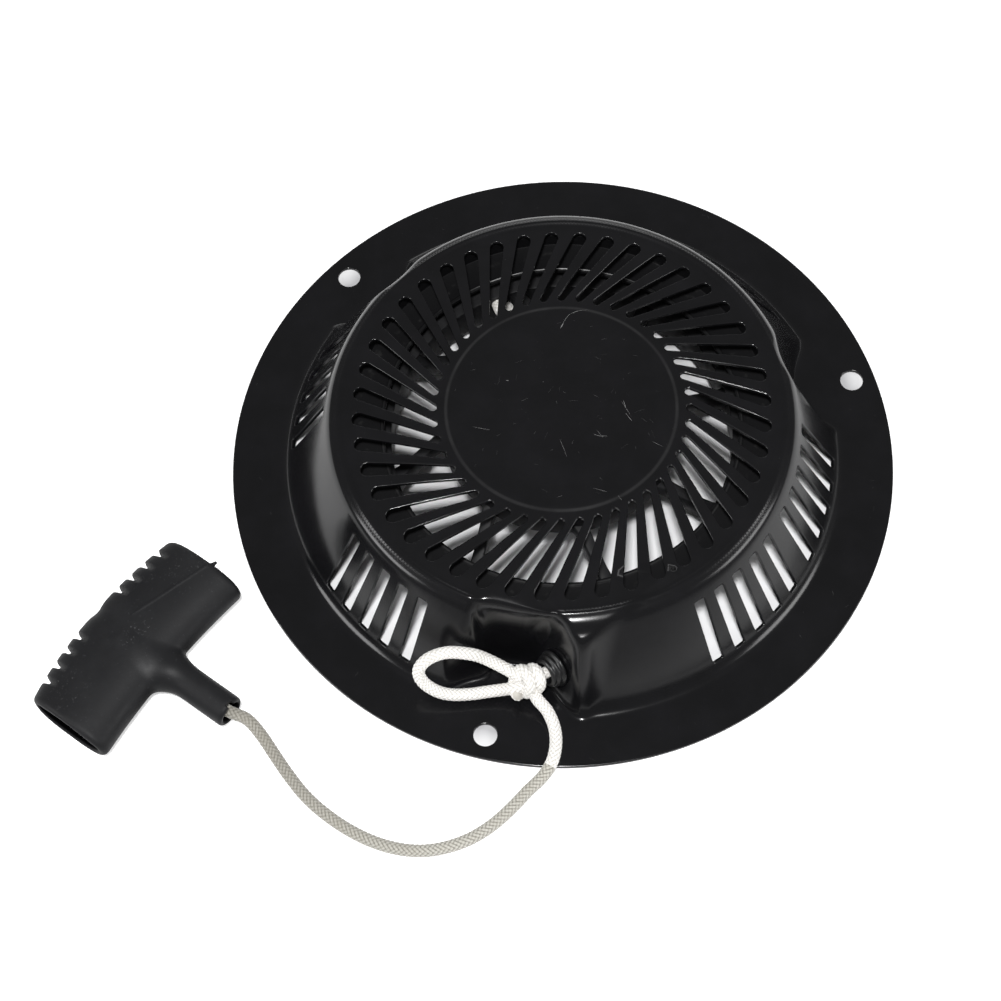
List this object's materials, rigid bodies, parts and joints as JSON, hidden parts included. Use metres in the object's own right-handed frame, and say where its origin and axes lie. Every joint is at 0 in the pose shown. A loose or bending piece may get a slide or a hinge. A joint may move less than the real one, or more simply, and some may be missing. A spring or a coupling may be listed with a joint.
{
  "type": "recoil starter",
  "caption": "Pull-rope recoil starter with a slotted pressed housing, a spring-returned rope reel with pawls, a knotted rope and a T handle.",
  "frame": {"origin": "centre of the bolt flange on its underside, which is the face that sits on the engine", "axes": "+Z from the flange up through the grille along the reel's axis; the rope leaves on the -Y side and the handle lies towards -X and -Y"},
  "size_m": [0.3338, 0.2915, 0.0417],
  "materials": {
    "black_enamel": "gloss black enamel on pressed steel",
    "baffle_steel": "black painted steel",
    "grommet_rubber": "matte black moulded rubber",
    "bright_steel": "zinc plated steel",
    "spring_steel": "blued spring steel",
    "reel_plastic": "black moulded nylon",
    "rope_nylon": "braided white nylon cord",
    "handle_rubber": "matte black rubber",
    "pawl_steel": "hardened steel",
    "bush_nylon": "natural nylon"
  },
  "bodies": {
    "housing_body": {"housing": "black_enamel", "baffle_ring": "baffle_steel", "rope_bushing": "grommet_rubber", "center_post": "bright_steel", "center_bolt": "bright_steel", "retainer_washer": "bright_steel", "friction_spring": "spring_steel", "rope_lead": "rope_nylon"},
    "reel_body": {"reel": "reel_plastic", "reel_bush": "bush_nylon", "spring_cover": "bright_steel", "recoil_spring": "spring_steel", "rope_on_reel": "rope_nylon", "rope_anchor_knot": "rope_nylon", "pawl_pin_1": "bright_steel", "pawl_pin_2": "bright_steel", "pawl_spring_1": "spring_steel", "pawl_spring_2": "spring_steel"},
    "guide_body": {"ratchet_guide": "bright_steel"},
    "pawl_1_body": {"pawl_1": "pawl_steel"},
    "pawl_2_body": {"pawl_2": "pawl_steel"},
    "handle_body": {"handle_grip": "handle_rubber", "handle_retainer": "bright_steel", "handle_knot": "rope_nylon", "rope_tail": "rope_nylon", "rope_loop": "rope_nylon", "stop_knot": "rope_nylon"}
  },
  "joints": [
    {"name": "reel_turn", "type": "hinge", "parent": "housing_body", "child": "reel_body", "pos_m": [0, 0, 0], "axis": [0, 0, -1], "range_deg": [0, 900]},
    {"name": "handle_pull", "type": "slide", "parent": "housing_body", "child": "handle_body", "axis": [-0.8415, -0.5403, 0], "range_m": [0, 1.1503]},
    {"name": "guide_lag", "type": "hinge", "parent": "reel_body", "child": "guide_body", "pos_m": [0, 0, 0], "axis": [0, 0, 1], "range_deg": [0, 30]},
    {"name": "pawl_1_swing", "type": "hinge", "parent": "reel_body", "child": "pawl_1_body", "pos_m": [0.02048, 0.01434, 0.0132], "axis": [0, 0, 1], "range_deg": [0, 38]},
    {"name": "pawl_2_swing", "type": "hinge", "parent": "reel_body", "child": "pawl_2_body", "pos_m": [-0.02048, -0.01434, 0.0132], "axis": [0, 0, 1], "range_deg": [0, 38]}
  ],
  "couplings": [
    {"joint": "handle_pull", "follows": "reel_turn", "m_per_rad": 0.0732},
    {"joint": "pawl_1_swing", "follows": "guide_lag", "ratio": 1.2666},
    {"joint": "pawl_2_swing", "follows": "guide_lag", "ratio": 1.2666}
  ]
}
